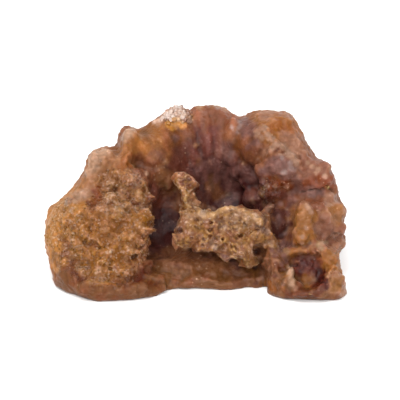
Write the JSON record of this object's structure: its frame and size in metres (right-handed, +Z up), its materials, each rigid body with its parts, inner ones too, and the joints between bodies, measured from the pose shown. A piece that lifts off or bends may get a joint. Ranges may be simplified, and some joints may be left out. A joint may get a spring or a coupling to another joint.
{
  "type": "raw citrine cluster",
  "caption": "Rough honey-brown quartz cluster: rounded lumps round a deep front hollow, a crust of small points and a bridge across it, standing on a flat base.",
  "frame": {"origin": "middle of the stone's box, on the flat base that it stands on", "axes": "+Z up from the base, +X to the right as seen from the show face, +Y to the back; the show face looks along -Y and leans back"},
  "size_m": [0.0706, 0.0432, 0.0347],
  "materials": {
    "citrine": "waxy, slightly translucent honey-brown quartz"
  },
  "bodies": {
    "root": {"citrine_cluster": "citrine"}
  },
  "joints": []
}
